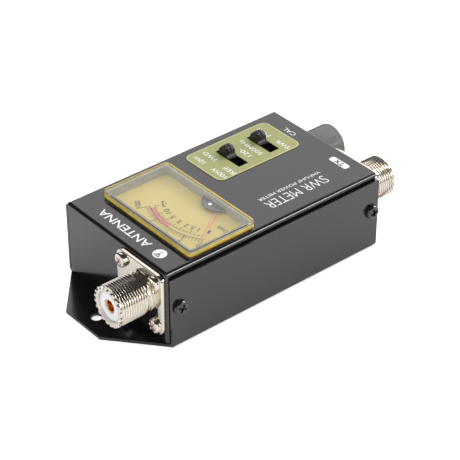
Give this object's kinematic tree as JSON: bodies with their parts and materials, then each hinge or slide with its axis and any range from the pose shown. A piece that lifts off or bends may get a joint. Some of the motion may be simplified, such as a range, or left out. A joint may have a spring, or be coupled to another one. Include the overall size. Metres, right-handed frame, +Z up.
{
  "type": "swr meter",
  "caption": "Boxed in-line SWR and power meter with a raised window, swinging needle, slide switches, a calibration knob and a coaxial socket on each end.",
  "frame": {"origin": "middle of the underside of the box, where it stands", "axes": "+Z up out of the dial, +Y towards the aerial socket, +X towards the switches' rest ends; the lettering reads upright from -Y"},
  "size_m": [0.0654, 0.1325, 0.0359],
  "materials": {
    "black_paint": "semi-gloss black paint on folded steel",
    "black_screw": "black oxide",
    "nickel": "warm bright nickel plate",
    "white_resin": "pale white moulded insulator",
    "gilt": "gilt contact",
    "clear_resin": "clear polished plastic",
    "dark_resin": "dark grey moulded cover",
    "dial_card": "cream yellow printed dial",
    "needle_red": "red needle",
    "copper": "bright copper",
    "black_iron": "black magnet iron",
    "tin_plate": "tinned steel",
    "black_resin": "black moulded plastic",
    "olive_label": "satin olive label with a pale rim",
    "brown_phenolic": "brown phenolic",
    "board_green": "green circuit board",
    "grey_resin": "satin grey-green knob",
    "glass_body": "orange glass diode",
    "wire_red": "red wire insulation"
  },
  "bodies": {
    "case": {"ant_backing_plate": "tin_plate", "ant_flange_screw_1": "nickel", "ant_flange_screw_2": "nickel", "ant_flange_screw_3": "nickel", "ant_flange_screw_4": "nickel", "ant_socket_contact": "gilt", "ant_socket_insulator": "white_resin", "ant_socket_shell": "nickel", "board_spacer_1": "tin_plate", "board_spacer_2": "tin_plate", "bottom_cover": "black_paint", "cal_nut": "nickel", "cal_potentiometer": "tin_plate", "case_screw_1": "black_screw", "case_screw_2": "black_screw", "case_screw_3": "black_screw", "case_screw_4": "black_screw", "chassis": "black_paint", "control_board": "board_green", "coupler_board": "board_green", "coupler_trough": "tin_plate", "detector_diode_1": "glass_body", "detector_diode_2": "glass_body", "forward_wire": "wire_red", "line_conductor": "copper", "load_resistor_1": "brown_phenolic", "load_resistor_2": "brown_phenolic", "meter_bearing_bridge": "tin_plate", "meter_case": "black_resin", "meter_core": "black_iron", "meter_dial": "dial_card", "meter_hairspring": "gilt", "meter_pivot_cover": "dark_resin", "meter_window": "clear_resin", "meter_wire": "wire_red", "meter_yoke": "black_iron", "meter_zero_screw": "nickel", "mode_switch_base": "brown_phenolic", "mode_switch_frame": "tin_plate", "pickup_line": "copper", "power_switch_base": "brown_phenolic", "power_switch_frame": "tin_plate", "reflected_wire": "wire_red", "switch_label": "olive_label", "tx_backing_plate": "tin_plate", "tx_flange_screw_1": "nickel", "tx_flange_screw_2": "nickel", "tx_flange_screw_3": "nickel", "tx_flange_screw_4": "nickel", "tx_socket_contact": "gilt", "tx_socket_insulator": "white_resin", "tx_socket_shell": "nickel"},
    "pointer": {"meter_pointer": "needle_red", "meter_moving_coil": "copper"},
    "power_slider": {"power_switch_slider": "black_resin"},
    "mode_slider": {"mode_switch_slider": "black_resin"},
    "cal_control": {"cal_knob": "grey_resin", "cal_shaft": "tin_plate"}
  },
  "joints": [
    {"name": "pointer_swing", "type": "hinge", "parent": "case", "child": "pointer", "pos_m": [-0.0039, 0.0029, 0.0297], "axis": [0, 0, -1], "range_deg": [0, 62], "stiffness_Nm_per_rad": 0.00001},
    {"name": "power_switch_slide", "type": "slide", "parent": "case", "child": "power_slider", "axis": [-1, 0, 0], "range_m": [0, 0.0056]},
    {"name": "mode_switch_slide", "type": "slide", "parent": "case", "child": "mode_slider", "axis": [-1, 0, 0], "range_m": [0, 0.0056]},
    {"name": "cal_knob_turn", "type": "hinge", "parent": "case", "child": "cal_control", "pos_m": [0.01415, -0.0497, 0.0172], "axis": [0, -1, 0], "range_deg": [-150, 150]}
  ]
}
